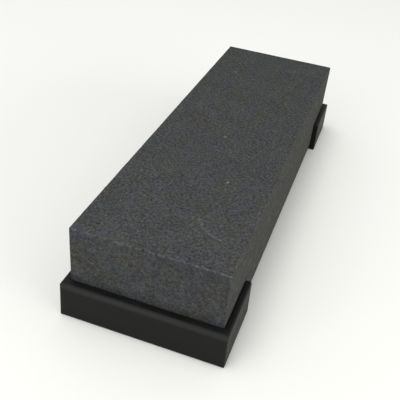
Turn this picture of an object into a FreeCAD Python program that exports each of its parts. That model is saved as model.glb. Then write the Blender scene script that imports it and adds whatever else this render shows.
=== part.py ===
import FreeCAD, Part
import math
import os

# A bench whetstone: one thick block of bonded abrasive, with a moulded rubber cap on each end.
# Millimetres. X runs across the stone, +Y runs along it from the front cap to the rear cap, and
# +Z is up. The origin is the middle of the footprint, on the surface that the caps stand on.

# The abrasive block
STONE_LENGTH = 205.0
STONE_WIDTH = 64.0
STONE_THICKNESS = 40.0
STONE_ARRIS = 0.6  # the bevel that takes the sharpness off each edge of the block

# The rubber end caps. Both come from one mould.
CAP_HEIGHT = 16.4  # from the underside to the rim
CAP_FLOOR = 2.0  # the rubber under the block
CAP_SIDE_WALL = 2.7  # thickness at the rim
CAP_END_WALL = 4.2  # thickness at the rim
CAP_GRIP = 28.7  # how far the side walls reach along the block
CAP_FIT_GAP = 0.1  # between the block and each wall
CAP_DRAFT_DEG = 0.8  # the outer faces lean in towards the rim
CAP_CORNER_RADIUS = 1.0  # the two upright outer corners
CAP_MOUTH_RADIUS = 0.7  # the upright outer edges where the side walls stop
CAP_END_RIM_RADIUS = 1.7  # the outer edge of the rim, across the end
CAP_SIDE_RIM_RADIUS = 1.0  # the outer edge of the rim, along each side
CAP_LIP_RADIUS = 0.5  # the inner edge of the rim
CAP_FOOT_RADIUS = 0.6  # the outer edge of the underside
CAP_POCKET_RADIUS = 0.5  # the inner corners of the pocket

# Shallow grooves across the underside of a cap, which stop it from skating on a wet bench
GROOVE_COUNT = 6
GROOVE_PITCH = 4.6
GROOVE_WIDTH = 1.6
GROOVE_DEPTH = 0.6
GROOVE_INSET = 7.0  # from the outer side faces to the ends of the grooves

# How far the outer faces lean, and where the faces of the front cap lie
CAP_LEAN = CAP_HEIGHT * math.tan(math.radians(CAP_DRAFT_DEG))
POCKET_X = STONE_WIDTH / 2 + CAP_FIT_GAP
POCKET_Y = -(STONE_LENGTH / 2 + CAP_FIT_GAP)
RIM_X = POCKET_X + CAP_SIDE_WALL
RIM_Y = POCKET_Y - CAP_END_WALL
FOOT_X = RIM_X + CAP_LEAN
FOOT_Y = RIM_Y - CAP_LEAN
MOUTH_Y = CAP_GRIP - STONE_LENGTH / 2

NEAR = 0.01  # two lengths closer than this are the same


def point(x, y, z):
    return FreeCAD.Vector(x, y, z)


def same(a, b):
    return abs(a - b) < NEAR


def prism(corners, along):
    """The polygon through the corners, extruded by the vector along."""
    outline = Part.makePolygon(corners + corners[:1])
    return Part.Face(outline).extrude(along)


def round_edges(shape, radius, test):
    """The shape with a fillet on each edge whose bounding box passes the test."""
    edges = [edge for edge in shape.Edges if test(edge.BoundBox)]
    return shape.makeFillet(radius, edges)


def is_upright(box):
    return same(box.ZMin, 0) and same(box.ZMax, CAP_HEIGHT)


def is_rim(box):
    return same(box.ZMin, CAP_HEIGHT)


def is_foot(box):
    return same(box.ZMax, 0)


def runs_along(box):
    """An edge parallel to the block's length."""
    return same(box.XLength, 0) and not same(box.YLength, 0)


def is_outer_end(box):
    """An edge on the outside of the end wall."""
    return box.YMax < POCKET_Y


def is_inner_rim(box):
    """A rim edge of the pocket: it lies inside the walls and doesn't cross them."""
    inside = box.XMax < POCKET_X + NEAR and box.XMin > -POCKET_X - NEAR
    return is_rim(box) and inside and box.YMin > POCKET_Y - NEAR


def whetstone_block():
    """The plain rectangular block, with a narrow bevel on every edge."""
    corner = point(-STONE_WIDTH / 2, -STONE_LENGTH / 2, CAP_FLOOR)
    block = Part.makeBox(STONE_WIDTH, STONE_LENGTH, STONE_THICKNESS, corner)
    return block.makeChamfer(STONE_ARRIS, block.Edges)


def cap_section_across():
    """The outline of the front cap seen from the end, drawn out along the block."""
    corners = [
        point(-FOOT_X, FOOT_Y, 0),
        point(FOOT_X, FOOT_Y, 0),
        point(RIM_X, FOOT_Y, CAP_HEIGHT),
        point(-RIM_X, FOOT_Y, CAP_HEIGHT),
    ]
    return prism(corners, point(0, MOUTH_Y - FOOT_Y, 0))


def cap_section_along():
    """The outline of the front cap seen from the side, drawn out across the block."""
    corners = [
        point(-FOOT_X, FOOT_Y, 0),
        point(-FOOT_X, MOUTH_Y, 0),
        point(-FOOT_X, MOUTH_Y, CAP_HEIGHT),
        point(-FOOT_X, RIM_Y, CAP_HEIGHT),
    ]
    return prism(corners, point(2 * FOOT_X, 0, 0))


def cap_blank():
    """The front cap's outer shape as a full block, with every outer edge rounded."""
    across = cap_section_across()
    along = cap_section_along()
    blank = across.common(along)
    blank = round_edges(
        blank, CAP_CORNER_RADIUS, lambda box: is_upright(box) and is_outer_end(box)
    )
    blank = round_edges(
        blank, CAP_MOUTH_RADIUS, lambda box: is_upright(box) and same(box.YMin, MOUTH_Y)
    )
    across = round_edges(
        across, CAP_SIDE_RIM_RADIUS, lambda box: is_rim(box) and runs_along(box)
    )
    across = round_edges(across, CAP_FOOT_RADIUS, lambda box: is_foot(box) and runs_along(box))
    along = round_edges(along, CAP_END_RIM_RADIUS, lambda box: is_rim(box) and is_outer_end(box))
    along = round_edges(along, CAP_FOOT_RADIUS, lambda box: is_foot(box) and is_outer_end(box))
    return blank.common(across).common(along)


def cap_pocket():
    """The space that the block fills, open at the top and the mouth, with eased corners."""
    pocket = Part.makeBox(
        2 * POCKET_X, 2 * CAP_GRIP, 2 * CAP_HEIGHT, point(-POCKET_X, POCKET_Y, CAP_FLOOR)
    )
    pocket_end = POCKET_Y + 2 * CAP_GRIP
    return round_edges(
        pocket,
        CAP_POCKET_RADIUS,
        lambda box: (same(box.ZMax, CAP_FLOOR) and not same(box.YMin, pocket_end))
        or (same(box.YMax, POCKET_Y) and box.ZLength > CAP_HEIGHT),
    )


def cap_grooves():
    """The grooves under the front cap, evenly spaced about the middle of its underside."""
    middle_y = (FOOT_Y + MOUTH_Y) / 2
    length = 2 * (FOOT_X - GROOVE_INSET)
    grooves = []
    for number in range(GROOVE_COUNT):
        centre_y = middle_y + (number - (GROOVE_COUNT - 1) / 2) * GROOVE_PITCH
        corner = point(-length / 2, centre_y - GROOVE_WIDTH / 2, -GROOVE_DEPTH)
        grooves.append(Part.makeBox(length, GROOVE_WIDTH, 2 * GROOVE_DEPTH, corner))
    return grooves


def front_end_cap():
    """One rubber cap: a shallow tray with three walls, a rounded rim and a grooved underside."""
    cap = cap_blank().cut(cap_pocket())
    cap = round_edges(cap, CAP_LIP_RADIUS, is_inner_rim)
    return cap.cut(cap_grooves())


def rear_end_cap():
    """The same cap, turned half round to face the other end of the block."""
    cap = front_end_cap()
    cap.rotate(point(0, 0, 0), point(0, 0, 1), 180)
    return cap


NODES = {
    "whetstone_block": whetstone_block,
    "front_end_cap": front_end_cap,
    "rear_end_cap": rear_end_cap,
}

os.makedirs("parts", exist_ok=True)
for name, make in NODES.items():
    solid = make().Solids[0]
    solid.exportStep(f"parts/{name}.step")
    size = solid.BoundBox
    print(
        f"{name}: {size.XLength:.2f} x {size.YLength:.2f} x {size.ZLength:.2f} mm, "
        f"{solid.Volume:.0f} mm3, valid {solid.isValid()}"
    )
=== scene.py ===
import math
import random

import bpy
import numpy as np
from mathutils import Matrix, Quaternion, Vector, noise


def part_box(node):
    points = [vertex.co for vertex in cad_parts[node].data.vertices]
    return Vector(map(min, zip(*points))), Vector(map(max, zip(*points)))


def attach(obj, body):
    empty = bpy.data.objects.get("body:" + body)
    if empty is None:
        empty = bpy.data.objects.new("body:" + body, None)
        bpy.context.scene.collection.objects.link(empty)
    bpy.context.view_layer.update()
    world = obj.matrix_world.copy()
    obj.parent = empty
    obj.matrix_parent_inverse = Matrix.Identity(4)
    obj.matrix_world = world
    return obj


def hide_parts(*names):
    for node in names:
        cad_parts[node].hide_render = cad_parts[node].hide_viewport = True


# Everything is in metres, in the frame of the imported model: X across the stone, Y along it, Z up.
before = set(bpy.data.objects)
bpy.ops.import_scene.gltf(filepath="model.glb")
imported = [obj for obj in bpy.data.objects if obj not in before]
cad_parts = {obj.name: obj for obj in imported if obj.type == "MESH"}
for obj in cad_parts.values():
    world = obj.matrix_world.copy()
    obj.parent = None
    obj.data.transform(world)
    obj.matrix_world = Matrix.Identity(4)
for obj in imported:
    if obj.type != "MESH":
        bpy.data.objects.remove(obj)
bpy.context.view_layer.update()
MM = 0.001

# Camera
LENS_MM = 56.04
SENSOR_MM = 36
CAMERA_TARGET = Vector((-1.83, -35.27, 21.0)) * MM
CAMERA_DISTANCE = 288.9 * MM
CAMERA_AZIMUTH_DEG = 15.92
CAMERA_ELEVATION_DEG = 35.25
CAMERA_ROLL_DEG = 6.05
CAMERA_NEAREST = 0.01
CAMERA_FARTHEST = 50

# Floor and light
FLOOR_SIZE = 20.0
FLOOR_DROP = 0.02 * MM
FLOOR_COLOUR = (0.66, 0.655, 0.635, 1)
FLOOR_ROUGHNESS = 0.7
SKY_COLOUR = (0.95, 0.98, 1.0, 1)
SKY_STRENGTH = 0.8

# Lamps aimed at the origin: name, (width, height), watts, colour, distance, and the azimuth and
# elevation in degrees
LAMPS = [
    ("key", (0.7, 0.7), 12, (1.0, 0.985, 0.95), 1.5, -60, 80),
    ("side", (1.6, 0.5), 14.5, (1.0, 0.985, 0.92), 1.4, 80, 14),
    ("front", (0.9, 0.8), 5.6, (1.0, 0.99, 0.97), 1.2, -21, 20),
]

# The abrasive's soft noise: the size of its features, and how far each moves the bond's tone
FINE_SIZE, FINE_SWING = 0.5 * MM, 1.3
COARSE_SIZE, COARSE_SWING = 1.2 * MM, 1.5
CLUMP_SIZE, CLUMP_SWING = 4.0 * MM, 0.3
PATCH_SIZE, PATCH_SWING = 18 * MM, 0.25
TINGE_SIZE = 7.0 * MM
GRAIN_ROUGHNESS = 0.55
BOND_TONE = 0.94
BOND_LEAST = 0.15
GROUND_CONTRAST = 1.5  # the flat honing face is more mottled than the other faces
OTHER_CONTRAST = 1.05

# The abrasive's cells: their size, and how much each adds to the tone
GRIT_CELL, GRIT_SHARE = 0.6 * MM, 0.55
COARSE_GRIT_CELL, COARSE_GRIT_SHARE = 1.0 * MM, 0.5
GLINT_CELL, GLINT_SHARE = 1.7 * MM, 0.9
PORE_CELL, PORE_SHARE = 2.1 * MM, -0.3

# The abrasive's colours. Each pair goes from one to the other.
BOND_COLOURS = (0.0385, 0.0405, 0.0425, 1), (0.0420, 0.0425, 0.0410, 1)
GRAIN_COLOURS = (0.0440, 0.0470, 0.0520, 1), (0.0500, 0.0480, 0.0470, 1)
TINGE_COLOURS = (0.975, 1.000, 1.080, 1), (1.025, 1.000, 0.915, 1)
# Painted light falloff: the block darkens from its front towards its rear.
FALLOFF_COLOURS = (1.000, 1.003, 1.012, 1), (0.940, 0.955, 0.930, 1)  # from front to rear
# Painted warm light: the two long sides are tinted warmer and a touch paler.
SIDE_LIGHT_COLOURS = (1.000, 1.000, 1.000, 1), (1.025, 1.010, 0.940, 1)  # on the two long sides
WORN_COLOUR = (0.105, 0.107, 0.107, 1)
WORN_SHARE = 0.7
MARK_COLOUR = (0.18, 0.185, 0.175, 1)
ABRASIVE_SPECULAR = 0.05
ABRASIVE_BUMP = 0.12 * MM

# How near a face of the block a point counts as being on it: from nothing to full
FACE_REACH = (0.7 * MM, 0.1 * MM)

# The stone is painted a little darker where the caps grip it and just above their rims, as painted
# shade: from nothing to full
CAP_SHADE_UP = (21.5 * MM, 16.4 * MM)
CAP_SHADE_ALONG = (71 * MM, 75 * MM)
CAP_SHADE_DEPTH = 0.22

# Marks on the honing face: one short bowed scratch towards the front right corner, and pale specks
SCRATCH_START = Vector((10, -75)) * MM
SCRATCH_END = Vector((22, -85)) * MM
SCRATCH_BOW = 2 * MM
SCRATCH_PARTS = 6
SCRATCH_REACH = (0.8 * MM, 0.1 * MM)
SPECK_COUNT = 3
SPECK_SEED = 1
SPECK_MARGIN = 8 * MM
SPECK_LENGTH = 0.4 * MM
SPECK_REACH = (0.5 * MM, 0.2 * MM)
SPECK_SHARE = 0.9

# The rubber
RUBBER_COLOUR = (0.0029, 0.0030, 0.0027, 1)
DUST_COLOUR = (0.055, 0.056, 0.052, 1)
DUST_SHARE = 0.07
# Painted highlight: a paler rubber colour on the rounded rims across the cap ends.
RIM_HIGHLIGHT_COLOUR = (0.014, 0.014, 0.0145, 1)
SKIN_SIZE = 0.35 * MM
SWELL_SIZE = 9 * MM
SWELL_SHARE = 6.0
FILM_SIZE = 6 * MM
RUBBER_ROUGHNESS = (0.50, 0.61)
RUBBER_SPECULAR = 0.15
RUBBER_BUMP = 0.03 * MM

# How near the end and the rim of a cap the painted highlight on the end rims reaches: from nothing
# to full
RIM_HIGHLIGHT_FROM_END = (1.4 * MM, 0.6 * MM)
RIM_HIGHLIGHT_FROM_RIM = (2.5 * MM, 1.6 * MM)

# The block's grid: wide steps on the faces, narrow ones in a band along every edge
FACE_STEP = 0.8 * MM
EDGE_BAND = 2.4 * MM
EDGE_STEPS = 7
EDGE_GRADING = 1.5

# How the block's edges are rounded, chipped and crumbled
ARRIS_RADIUS = 0.45 * MM
ARRIS_VARIATION = 0.15 * MM
ARRIS_SIZE = 9 * MM
CHIP_DEPTH = 0.8 * MM
CHIP_SIZE = 2.2 * MM
CHIP_THRESHOLD = 0.5
CHIP_EASING = 0.3
CHIP_CLUSTER_SIZE = 14 * MM
CHIP_CLUSTER_SHARE = 0.5
CRUMB_DEPTH = 0.09 * MM
CRUMB_SIZE = 0.8 * MM

# How pale the worn edges are: the top edge of each end, most at its corners, and then the rest
WEAR_PEAK = 1.15
END_WEAR_MIDDLE = 0.55
END_WEAR_CORNER = 0.45
END_WEAR_POWER = 1.5
OTHER_WEAR = 0.12


def aimed(name, data, target, distance, azimuth_deg, elevation_deg, roll_deg=0.0):
    """A camera or lamp that looks at the target. Azimuth 0 is in front, and 90 on the +X side."""
    azimuth = math.radians(azimuth_deg)
    elevation = math.radians(elevation_deg)
    away = Vector(
        (
            math.sin(azimuth) * math.cos(elevation),
            -math.cos(azimuth) * math.cos(elevation),
            math.sin(elevation),
        )
    )
    holder = bpy.data.objects.new(name, data)
    bpy.context.scene.collection.objects.link(holder)
    holder.location = target + away * distance
    holder.rotation_mode = "QUATERNION"
    level = (-away).to_track_quat("-Z", "Y")
    holder.rotation_quaternion = level @ Quaternion((0, 0, 1), math.radians(roll_deg))
    return holder


def add_mesh(name, points, faces, smooth=True):
    mesh = bpy.data.meshes.new(name)
    mesh.from_pydata([tuple(p) for p in points], [], [tuple(int(i) for i in f) for f in faces])
    mesh.validate()
    mesh.update()
    mesh.polygons.foreach_set("use_smooth", [smooth] * len(mesh.polygons))
    piece = bpy.data.objects.new(name, mesh)
    bpy.context.scene.collection.objects.link(piece)
    return piece


# Materials

class Nodes:
    """Short calls that build one material's node tree."""

    def __init__(self, name):
        self.material = bpy.data.materials.new(name)
        self.material.use_nodes = True
        self.tree = self.material.node_tree
        self.tree.nodes.clear()
        self.shader = self.add("ShaderNodeBsdfPrincipled")
        output = self.add("ShaderNodeOutputMaterial")
        self.link(self.shader.outputs[0], output.inputs["Surface"])

    def add(self, kind, **settings):
        node = self.tree.nodes.new(kind)
        for key, value in settings.items():
            setattr(node, key, value)
        return node

    def link(self, source, socket):
        """Joins a socket to another, or sets it to a plain value."""
        if isinstance(source, bpy.types.NodeSocket):
            self.tree.links.new(source, socket)
        else:
            socket.default_value = source

    def place(self):
        """The point's place on the object, in metres."""
        return self.add("ShaderNodeTexCoord").outputs["Object"]

    def math(self, operation, *values, clamp=False):
        node = self.add("ShaderNodeMath", operation=operation, use_clamp=clamp)
        for value, socket in zip(values, node.inputs):
            self.link(value, socket)
        return node.outputs[0]

    def split(self, vector):
        node = self.add("ShaderNodeSeparateXYZ")
        self.link(vector, node.inputs[0])
        return node.outputs

    def noise(self, vector, size, detail=2.0, roughness=0.5, offset=0.0):
        """Soft noise from 0 to 1 with features of about the given size."""
        node = self.add("ShaderNodeTexNoise", noise_dimensions="4D")
        self.link(vector, node.inputs["Vector"])
        node.inputs["W"].default_value = offset
        node.inputs["Scale"].default_value = 1 / size
        node.inputs["Detail"].default_value = detail
        node.inputs["Roughness"].default_value = roughness
        return node.outputs[0]

    def swing(self, value, amount, base=0.0):
        """The base, raised or lowered by a noise's distance from its middle, times the amount."""
        return self.math("MULTIPLY_ADD", self.math("SUBTRACT", value, 0.5), amount, base)

    def cells(self, vector, size):
        """(distance to the middle of a cell in cell widths, the cell's own random 0 to 1)."""
        node = self.add("ShaderNodeTexVoronoi")
        self.link(vector, node.inputs["Vector"])
        node.inputs["Scale"].default_value = 1 / size
        own = self.add("ShaderNodeSeparateColor")
        self.link(node.outputs["Color"], own.inputs[0])
        return node.outputs["Distance"], own.outputs[0]

    def ramp(self, value, low, high, start=0.0, end=1.0):
        """value from low to high, eased to run from start to end."""
        node = self.add("ShaderNodeMapRange", interpolation_type="SMOOTHSTEP")
        for source, socket in zip((value, low, high, start, end), node.inputs):
            self.link(source, socket)
        return node.outputs[0]

    def near(self, value, limit, reach):
        """0 where value is further below the limit than reach's first number, 1 at its second."""
        return self.ramp(value, *(limit - gap for gap in reach))

    def blend(self, share, first, second):
        """The first colour, going over to the second as share goes from 0 to 1."""
        node = self.add("ShaderNodeMix", data_type="RGBA")
        self.link(share, node.inputs["Factor"])
        self.link(first, node.inputs["A"])
        self.link(second, node.inputs["B"])
        return node.outputs["Result"]

    def brighten(self, colour, factor):
        """The colour times a number."""
        node = self.add("ShaderNodeVectorMath", operation="SCALE")
        self.link(colour, node.inputs[0])
        self.link(factor, node.inputs["Scale"])
        return node.outputs[0]

    def tinted(self, colour, tint):
        """One colour times another."""
        node = self.add("ShaderNodeVectorMath", operation="MULTIPLY")
        self.link(colour, node.inputs[0])
        self.link(tint, node.inputs[1])
        return node.outputs[0]

    def total(self, first, second):
        """The sum of two colours."""
        node = self.add("ShaderNodeVectorMath", operation="ADD")
        self.link(first, node.inputs[0])
        self.link(second, node.inputs[1])
        return node.outputs[0]

    def line_distance(self, vector, start, end):
        """How far the point is from the line between two places."""
        along = Vector(end) - Vector(start)
        offset = self.add("ShaderNodeVectorMath", operation="SUBTRACT")
        self.link(vector, offset.inputs[0])
        offset.inputs[1].default_value = start
        share = self.add("ShaderNodeVectorMath", operation="DOT_PRODUCT")
        self.link(offset.outputs[0], share.inputs[0])
        share.inputs[1].default_value = along / along.length_squared
        share = self.math("ADD", share.outputs["Value"], 0.0, clamp=True)
        reach = self.add("ShaderNodeVectorMath", operation="SCALE")
        reach.inputs[0].default_value = along
        self.link(share, reach.inputs["Scale"])
        distance = self.add("ShaderNodeVectorMath", operation="DISTANCE")
        self.link(offset.outputs[0], distance.inputs[0])
        self.link(reach.outputs[0], distance.inputs[1])
        return distance.outputs["Value"]

    def nearest(self, distances):
        """The least of several distances."""
        least = distances[0]
        for distance in distances[1:]:
            least = self.math("MINIMUM", least, distance)
        return least

    def bump(self, height, distance, strength):
        node = self.add("ShaderNodeBump")
        self.link(height, node.inputs["Height"])
        node.inputs["Distance"].default_value = distance
        node.inputs["Strength"].default_value = strength
        return node.outputs[0]

    def attribute(self, name):
        return self.add("ShaderNodeAttribute", attribute_name=name).outputs["Fac"]


def scratch_path(top):
    """Places along the scratch, which bows to one side between its two ends."""
    run = SCRATCH_END - SCRATCH_START
    aside = Vector((run.y, -run.x)).normalized()
    shares = [part / SCRATCH_PARTS for part in range(SCRATCH_PARTS + 1)]
    path = [SCRATCH_START + run * s + aside * (4 * SCRATCH_BOW * s * (1 - s)) for s in shares]
    return [(x, y, top) for x, y in path]


def speck_places(side, length, top):
    """A few seeded places on the honing face, clear of its edges."""
    draw = random.Random(SPECK_SEED)
    across, along = side - SPECK_MARGIN, length - SPECK_MARGIN
    return [
        (draw.uniform(-across, across), draw.uniform(-along, along), top)
        for _ in range(SPECK_COUNT)
    ]


def abrasive_marks(n, place, coarse):
    """How much of the paler mark colour shows: the scratch, broken up by the grain, and specks."""
    side, length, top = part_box("whetstone_block")[1]
    path = scratch_path(top)
    scratch = n.nearest([n.line_distance(place, *ends) for ends in zip(path, path[1:])])
    broken = n.ramp(coarse, 0.4, 0.6, 0.04, 0.3)
    scratch = n.math("MULTIPLY", n.ramp(scratch, *SCRATCH_REACH), broken)
    specks = speck_places(side, length, top)
    speck = n.nearest(
        [n.line_distance(place, (x, y, z), (x + SPECK_LENGTH, y, z)) for x, y, z in specks]
    )
    speck = n.math("MULTIPLY", n.ramp(speck, *SPECK_REACH), SPECK_SHARE)
    return n.math("MAXIMUM", scratch, speck)


def abrasive_tint(n, place):
    """Slight tints: cool and warm blotches, painted light falloff that darkens towards the rear,
    and painted warm light on the long sides.
    """
    across, along, _ = n.split(place)
    side, length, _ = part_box("whetstone_block")[1]
    tinge = n.noise(place, TINGE_SIZE, detail=1.5, offset=8.0)
    # Painted light falloff towards the rear.
    falloff = n.ramp(along, -length, length)
    # Painted warm light on both long sides.
    side_light = n.near(n.math("ABSOLUTE", across), side, FACE_REACH)
    tint = n.blend(n.ramp(tinge, 0.3, 0.7), *TINGE_COLOURS)
    tint = n.tinted(tint, n.blend(falloff, *FALLOFF_COLOURS))
    return n.tinted(tint, n.blend(side_light, *SIDE_LIGHT_COLOURS))


def abrasive_cap_shade(n, place):
    """The tone's factor: below 1 in the bands that the caps grip, and just above them, as painted
    shade by the caps' rims.
    """
    _, along, up = n.split(place)
    low = n.ramp(up, *CAP_SHADE_UP)
    cap_shade = n.math("MULTIPLY", low, n.ramp(n.math("ABSOLUTE", along), *CAP_SHADE_ALONG))
    return n.math("MULTIPLY_ADD", cap_shade, -CAP_SHADE_DEPTH, 1.0)


def abrasive_material():
    """Bonded grit: a dark bond crowded with paler grains, a few glints and pores. The bands under
    the caps and just above them are darker with painted shade, the worn edges paler, and the honing
    face has a scratch and specks."""
    n = Nodes("bonded_abrasive")
    place = n.place()
    _, _, up = n.split(place)
    _, _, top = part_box("whetstone_block")[1]
    fine = n.noise(place, FINE_SIZE, detail=2, roughness=GRAIN_ROUGHNESS)
    coarse = n.noise(place, COARSE_SIZE, detail=2, roughness=GRAIN_ROUGHNESS, offset=3.0)
    clumps = n.noise(place, CLUMP_SIZE, detail=2, offset=5.0)
    patches = n.noise(place, PATCH_SIZE, detail=2, offset=7.0)
    grit_distance, grit = n.cells(place, GRIT_CELL)
    coarse_distance, coarse_grit = n.cells(place, COARSE_GRIT_CELL)
    glint_distance, glint = n.cells(place, GLINT_CELL)
    pore_distance, pore = n.cells(place, PORE_CELL)

    ground = n.near(up, top, FACE_REACH)
    mottle = n.swing(fine, FINE_SWING)
    mottle = n.swing(coarse, COARSE_SWING, mottle)
    mottle = n.swing(clumps, CLUMP_SWING, mottle)
    mottle = n.math(
        "MULTIPLY", mottle, n.ramp(ground, 0.0, 1.0, OTHER_CONTRAST, GROUND_CONTRAST)
    )
    bond = n.swing(patches, PATCH_SWING, n.math("ADD", mottle, BOND_TONE))
    small = n.math("MULTIPLY", n.math("POWER", grit, 3.0), n.ramp(grit_distance, 0.75, 0.25))
    large = n.math(
        "MULTIPLY", n.math("POWER", coarse_grit, 4.0), n.ramp(coarse_distance, 0.6, 0.2)
    )
    bright = n.math("MULTIPLY", n.ramp(glint, 0.93, 0.99), n.ramp(glint_distance, 0.26, 0.1))
    hole = n.math("MULTIPLY", n.ramp(pore, 0.1, 0.04), n.ramp(pore_distance, 0.3, 0.12))
    pale = n.math("MULTIPLY_ADD", small, GRIT_SHARE, n.math("MULTIPLY", large, COARSE_GRIT_SHARE))
    pale = n.math("MULTIPLY_ADD", bright, GLINT_SHARE, pale)
    bond = n.math("MAXIMUM", n.math("MULTIPLY_ADD", hole, PORE_SHARE, bond), BOND_LEAST)

    dark = n.blend(patches, *BOND_COLOURS)
    grain = n.blend(coarse_grit, *GRAIN_COLOURS)
    body = n.total(n.brighten(dark, bond), n.brighten(grain, pale))
    body = n.tinted(body, abrasive_tint(n, place))
    # Painted shade: darker in the bands that the caps grip and just above their rims.
    body = n.brighten(body, abrasive_cap_shade(n, place))
    wear = n.math("MULTIPLY", n.attribute("wear"), n.ramp(coarse, 0.36, 0.6))
    colour = n.blend(n.math("MULTIPLY", wear, WORN_SHARE), body, WORN_COLOUR)
    colour = n.blend(abrasive_marks(n, place, coarse), colour, MARK_COLOUR)
    n.link(colour, n.shader.inputs["Base Color"])
    n.link(n.ramp(glint, 0.9, 1.0, 0.95, 0.6), n.shader.inputs["Roughness"])
    n.shader.inputs["Specular IOR Level"].default_value = ABRASIVE_SPECULAR
    height = n.math("MULTIPLY_ADD", small, 0.8, n.math("MULTIPLY_ADD", hole, -1.2, fine))
    n.link(n.bump(height, ABRASIVE_BUMP, 0.7), n.shader.inputs["Normal"])
    return n.material


def rubber_material():
    """Black moulded rubber: satin, faintly uneven, with a trace of pale dust and a painted
    highlight on the rims across the ends."""
    n = Nodes("moulded_rubber")
    place = n.place()
    _, along, up = n.split(place)
    _, end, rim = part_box("rear_end_cap")[1]
    skin = n.noise(place, SKIN_SIZE, detail=2, roughness=0.6)
    swell = n.noise(place, SWELL_SIZE, detail=1, offset=4.0)
    film = n.noise(place, FILM_SIZE, detail=4, roughness=0.6, offset=9.0)
    dust = n.math("MULTIPLY", n.ramp(film, 0.4, 0.7), n.ramp(skin, 0.3, 0.7, 0.3, 1.0))
    colour = n.blend(n.math("MULTIPLY", dust, DUST_SHARE), RUBBER_COLOUR, DUST_COLOUR)
    # Painted highlight on the rounded rims across the ends, broken up by the rubber's skin.
    rim_highlight = n.math(
        "MULTIPLY",
        n.near(n.math("ABSOLUTE", along), end, RIM_HIGHLIGHT_FROM_END),
        n.near(up, rim, RIM_HIGHLIGHT_FROM_RIM),
    )
    rim_highlight = n.math("MULTIPLY", rim_highlight, n.ramp(skin, 0.2, 0.6, 0.5, 1.0))
    n.link(n.blend(rim_highlight, colour, RIM_HIGHLIGHT_COLOUR), n.shader.inputs["Base Color"])
    n.link(n.ramp(film, 0.3, 0.7, *RUBBER_ROUGHNESS), n.shader.inputs["Roughness"])
    n.shader.inputs["Specular IOR Level"].default_value = RUBBER_SPECULAR
    height = n.math("MULTIPLY_ADD", swell, SWELL_SHARE, skin)
    n.link(n.bump(height, RUBBER_BUMP, 0.6), n.shader.inputs["Normal"])
    return n.material


def floor_material():
    n = Nodes("pale_floor")
    n.link(FLOOR_COLOUR, n.shader.inputs["Base Color"])
    n.shader.inputs["Roughness"].default_value = FLOOR_ROUGHNESS
    return n.material


# The block

def grid_lines(low, high):
    """Places between low and high: close together near both ends, where the edges are worn."""
    near = EDGE_BAND * (np.arange(EDGE_STEPS) / EDGE_STEPS) ** EDGE_GRADING
    count = round((high - low - 2 * EDGE_BAND) / FACE_STEP)
    middle = np.linspace(low + EDGE_BAND, high - EDGE_BAND, count + 1)
    return np.concatenate([low + near, middle, (high - near)[::-1]])


def box_surface(lines):
    """The points and quads of a closed box whose faces are divided along the grid lines."""
    counts = [len(line) for line in lines]
    on_surface = np.zeros(counts, bool)
    for axis in range(3):
        for end in (0, -1):
            on_surface[tuple(end if a == axis else slice(None) for a in range(3))] = True
    index = np.full(counts, -1)
    index[on_surface] = np.arange(np.count_nonzero(on_surface))
    steps = np.nonzero(on_surface)
    points = np.stack([line[step] for line, step in zip(lines, steps)], axis=1)
    quads = []
    for axis in range(3):
        for end in (0, -1):
            ids = index.take(end, axis=axis)
            ring = [ids[:-1, :-1], ids[1:, :-1], ids[1:, 1:], ids[:-1, 1:]]
            if (end == 0) != (axis == 1):
                ring.reverse()
            quads.append(np.stack(ring, axis=-1).reshape(-1, 4))
    return points, np.concatenate(quads)


def edge_distance(points, half):
    """How far each point of the box's surface is from the nearest edge."""
    return np.sort(half - np.abs(points), axis=1)[:, 1]


def noise_at(points, size, offset):
    """Noise about 0 with features of about the given size, at each point."""
    shift = Vector((offset, offset, offset))
    return np.array([noise.noise(Vector(p) / size + shift) for p in points])


def arris_radius(points):
    """The radius to which the edge beside each point is worn: small, with chips here and there."""
    gentle = noise_at(points, ARRIS_SIZE, 3.7)
    chips = noise_at(points, CHIP_SIZE, 11.3)
    clusters = noise_at(points, CHIP_CLUSTER_SIZE, 29.1)
    chip = (chips + CHIP_CLUSTER_SHARE * clusters - CHIP_THRESHOLD) / CHIP_EASING
    chip = np.clip(chip, 0, 1)
    return ARRIS_RADIUS + ARRIS_VARIATION * gentle + (CHIP_DEPTH - ARRIS_RADIUS) * chip


def rounded(points, half, radius):
    """Points of a box, drawn in to edges of the given radius, which may vary."""
    core = np.clip(points, radius - half, half - radius)
    away = points - core
    return core + away / np.linalg.norm(away, axis=1, keepdims=True) * radius


def crumbled(points, worn, half, radius):
    """The worn points, pitted by a fine roughness that is deepest on the edge itself."""
    outward = worn - np.clip(worn, -(half - EDGE_BAND), half - EDGE_BAND)
    outward /= np.linalg.norm(outward, axis=1, keepdims=True)
    closeness = np.clip(1 - edge_distance(points, half) / (2 * radius), 0, 1)
    depth = CRUMB_DEPTH * closeness * (0.5 + 0.5 * noise_at(points, CRUMB_SIZE, 5.9))
    return worn - outward * depth[:, None]


def edge_wear(points, half, radius):
    """How pale each point near an edge is worn, from 0 to 1."""
    wear = np.clip(WEAR_PEAK - edge_distance(points, half) / radius, 0, 1)
    across = np.abs(points[:, 0]) / half[0]
    is_end = np.abs(points[:, 1]) > half[1] - EDGE_BAND
    is_top = points[:, 2] > half[2] - EDGE_BAND
    end_wear = END_WEAR_MIDDLE + END_WEAR_CORNER * across**END_WEAR_POWER
    return wear * np.where(is_top & is_end, end_wear, OTHER_WEAR)


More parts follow.
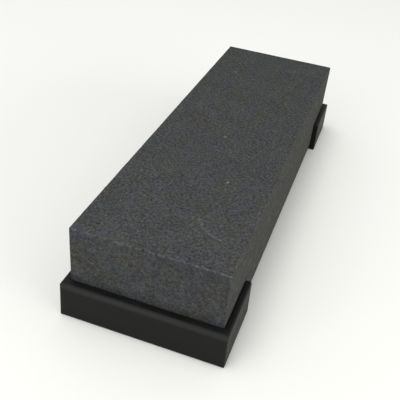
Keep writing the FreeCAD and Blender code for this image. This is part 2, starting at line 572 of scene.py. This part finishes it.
def make_block():
    """The block, with rounded, chipped and crumbled edges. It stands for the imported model's."""
    low, high = (np.array(corner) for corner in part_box("whetstone_block"))
    centre, half = (low + high) / 2, (high - low) / 2
    points, quads = box_surface([grid_lines(-h, h) for h in half])
    near = np.nonzero(edge_distance(points, half) < EDGE_BAND)[0]
    edge_points = points[near]
    radius = arris_radius(edge_points)
    wear = np.zeros(len(points))
    wear[near] = edge_wear(edge_points, half, radius)
    worn = rounded(edge_points, half, radius[:, None])
    points[near] = crumbled(edge_points, worn, half, radius)
    block = add_mesh("stone_block", points + centre, quads)
    attribute = block.data.attributes.new("wear", "FLOAT", "POINT")
    attribute.data.foreach_set("value", wear.astype(np.float32))
    block.data.materials.append(abrasive_material())
    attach(block, "stone")
    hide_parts("whetstone_block")


def finish_caps():
    """Gives the two rubber caps their material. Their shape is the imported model's own."""
    rubber = rubber_material()
    for name in ("front_end_cap", "rear_end_cap"):
        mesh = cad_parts[name].data
        mesh.materials.clear()
        mesh.materials.append(rubber)


# The stage

def make_camera():
    data = bpy.data.cameras.new("camera")
    data.lens = LENS_MM
    data.sensor_width = SENSOR_MM
    data.clip_start = CAMERA_NEAREST
    data.clip_end = CAMERA_FARTHEST
    bpy.context.scene.camera = aimed(
        "camera",
        data,
        CAMERA_TARGET,
        CAMERA_DISTANCE,
        CAMERA_AZIMUTH_DEG,
        CAMERA_ELEVATION_DEG,
        CAMERA_ROLL_DEG,
    )


def make_lamp(name, size, power, colour, distance, azimuth_deg, elevation_deg):
    """A soft rectangular lamp, not itself seen by the camera. Its size is (width, height)."""
    data = bpy.data.lights.new(name, "AREA")
    data.shape = "RECTANGLE"
    data.size, data.size_y = size
    data.energy = power
    data.color = colour
    lamp = aimed(name, data, Vector((0, 0, 0)), distance, azimuth_deg, elevation_deg)
    lamp.visible_camera = False


def make_stage():
    half = FLOOR_SIZE / 2
    corners = [(-half, -half), (half, -half), (half, half), (-half, half)]
    points = [(x, y, -FLOOR_DROP) for x, y in corners]
    floor = add_mesh("floor", points, [(0, 1, 2, 3)], smooth=False)
    floor.data.materials.append(floor_material())
    world = bpy.data.worlds.new("studio")
    world.use_nodes = True
    background = world.node_tree.nodes["Background"]
    background.inputs["Color"].default_value = SKY_COLOUR
    background.inputs["Strength"].default_value = SKY_STRENGTH
    bpy.context.scene.world = world
    for lamp in LAMPS:
        make_lamp(*lamp)


bpy.context.scene.view_settings.view_transform = "Standard"
make_camera()
make_stage()
make_block()
finish_caps()
